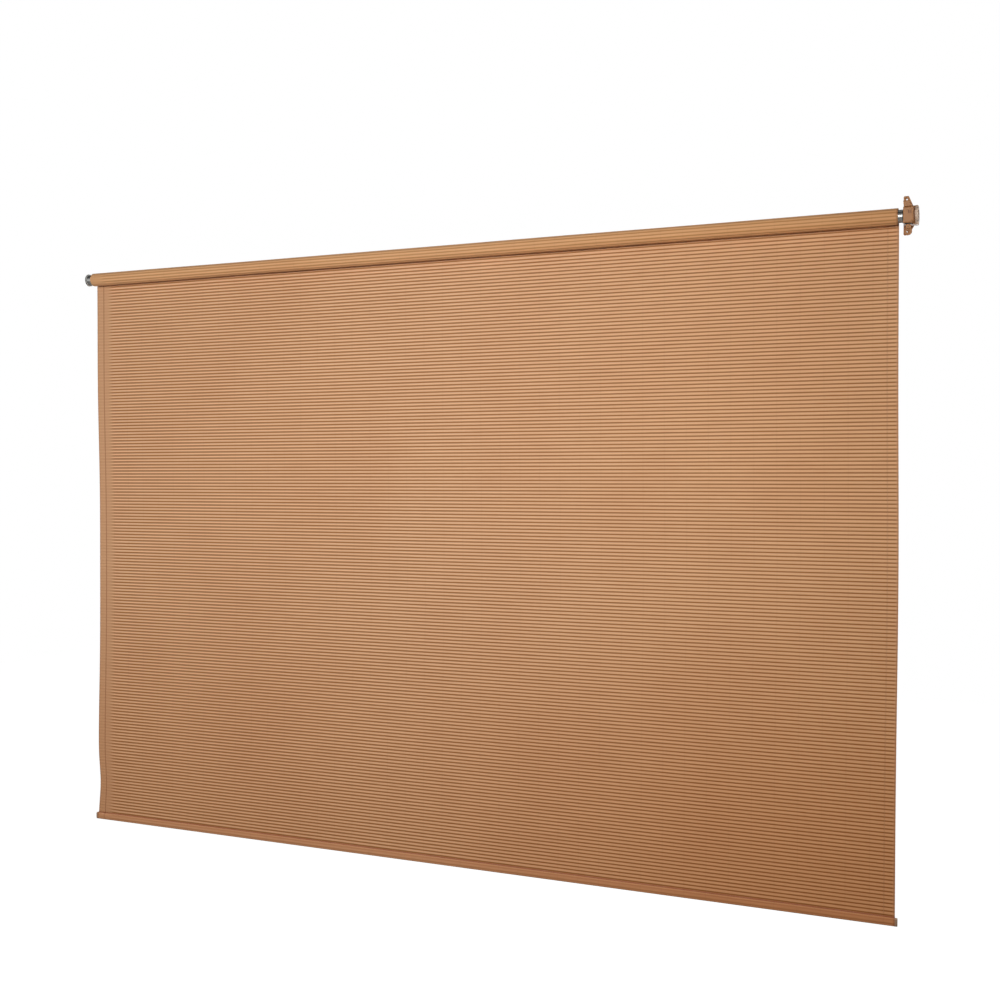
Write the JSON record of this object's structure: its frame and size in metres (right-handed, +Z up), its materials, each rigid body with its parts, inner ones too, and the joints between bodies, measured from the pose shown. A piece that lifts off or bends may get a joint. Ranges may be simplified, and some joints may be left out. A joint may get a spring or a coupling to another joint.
{
  "type": "outdoor roller shade",
  "caption": "Wide outdoor roller shade: a ribbed sheet on a tube, raised by a crank worm gear in a wall bracket, with a weighted hem and a sprung idle pin.",
  "frame": {"origin": "on the bracket's wall face, level with the roller's axis", "axes": "+X along the roller towards the crank end, +Y out of the back of the bracket into the wall, +Z up"},
  "size_m": [2.511, 0.081, 1.7725],
  "materials": {
    "brown_plastic": "moulded, satin",
    "bearing_plastic": "moulded",
    "grey_plastic": "moulded",
    "steel": "zinc plated",
    "aluminium": "mill finish",
    "ribbed_fabric": "ribbed knit"
  },
  "bodies": {
    "bracket": {"gear_bracket": "brown_plastic", "gear_cover": "brown_plastic", "cover_screws": "steel", "roller_bush": "bearing_plastic", "worm_cap": "brown_plastic", "worm_bush": "bearing_plastic", "shade_fabric": "ribbed_fabric"},
    "roller": {"roller_tube": "aluminium", "fixing_spline": "bearing_plastic", "fabric_roll": "ribbed_fabric", "drive_plug": "bearing_plastic", "worm_wheel": "bearing_plastic", "end_plug": "grey_plastic", "spring_seat": "grey_plastic", "idle_spring": "steel"},
    "crank": {"worm_shaft": "steel", "thrust_washer": "steel", "crank_eye": "brown_plastic", "eye_pin": "steel"},
    "idle": {"idle_pin": "steel"},
    "hem": {"hem_pocket": "ribbed_fabric", "hem_bar": "aluminium", "hem_cap_left": "brown_plastic", "hem_cap_right": "brown_plastic"}
  },
  "joints": [
    {"name": "roller_turn", "type": "hinge", "parent": "bracket", "child": "roller", "pos_m": [0, -0.048, 0], "axis": [1, 0, 0], "range_deg": [0, 3600]},
    {"name": "hem_lift", "type": "slide", "parent": "bracket", "child": "hem", "axis": [0, 0, 1], "range_m": [0, 1.6485], "deforming": ["shade_fabric"]},
    {"name": "crank_turn", "type": "hinge", "parent": "bracket", "child": "crank", "pos_m": [0.0045, -0.0685, 0], "axis": [0, 0, 1], "range_deg": [0, 25201]},
    {"name": "idle_pin_slide", "type": "slide", "parent": "roller", "child": "idle", "axis": [1, 0, 0], "range_m": [0, 0.008], "stiffness_N_per_m": 400, "springref_m": -0.01, "deforming": ["idle_spring"]}
  ],
  "couplings": [
    {"joint": "hem_lift", "follows": "roller_turn", "m_per_rad": 0.02623},
    {"joint": "crank_turn", "follows": "roller_turn", "ratio": 7}
  ]
}
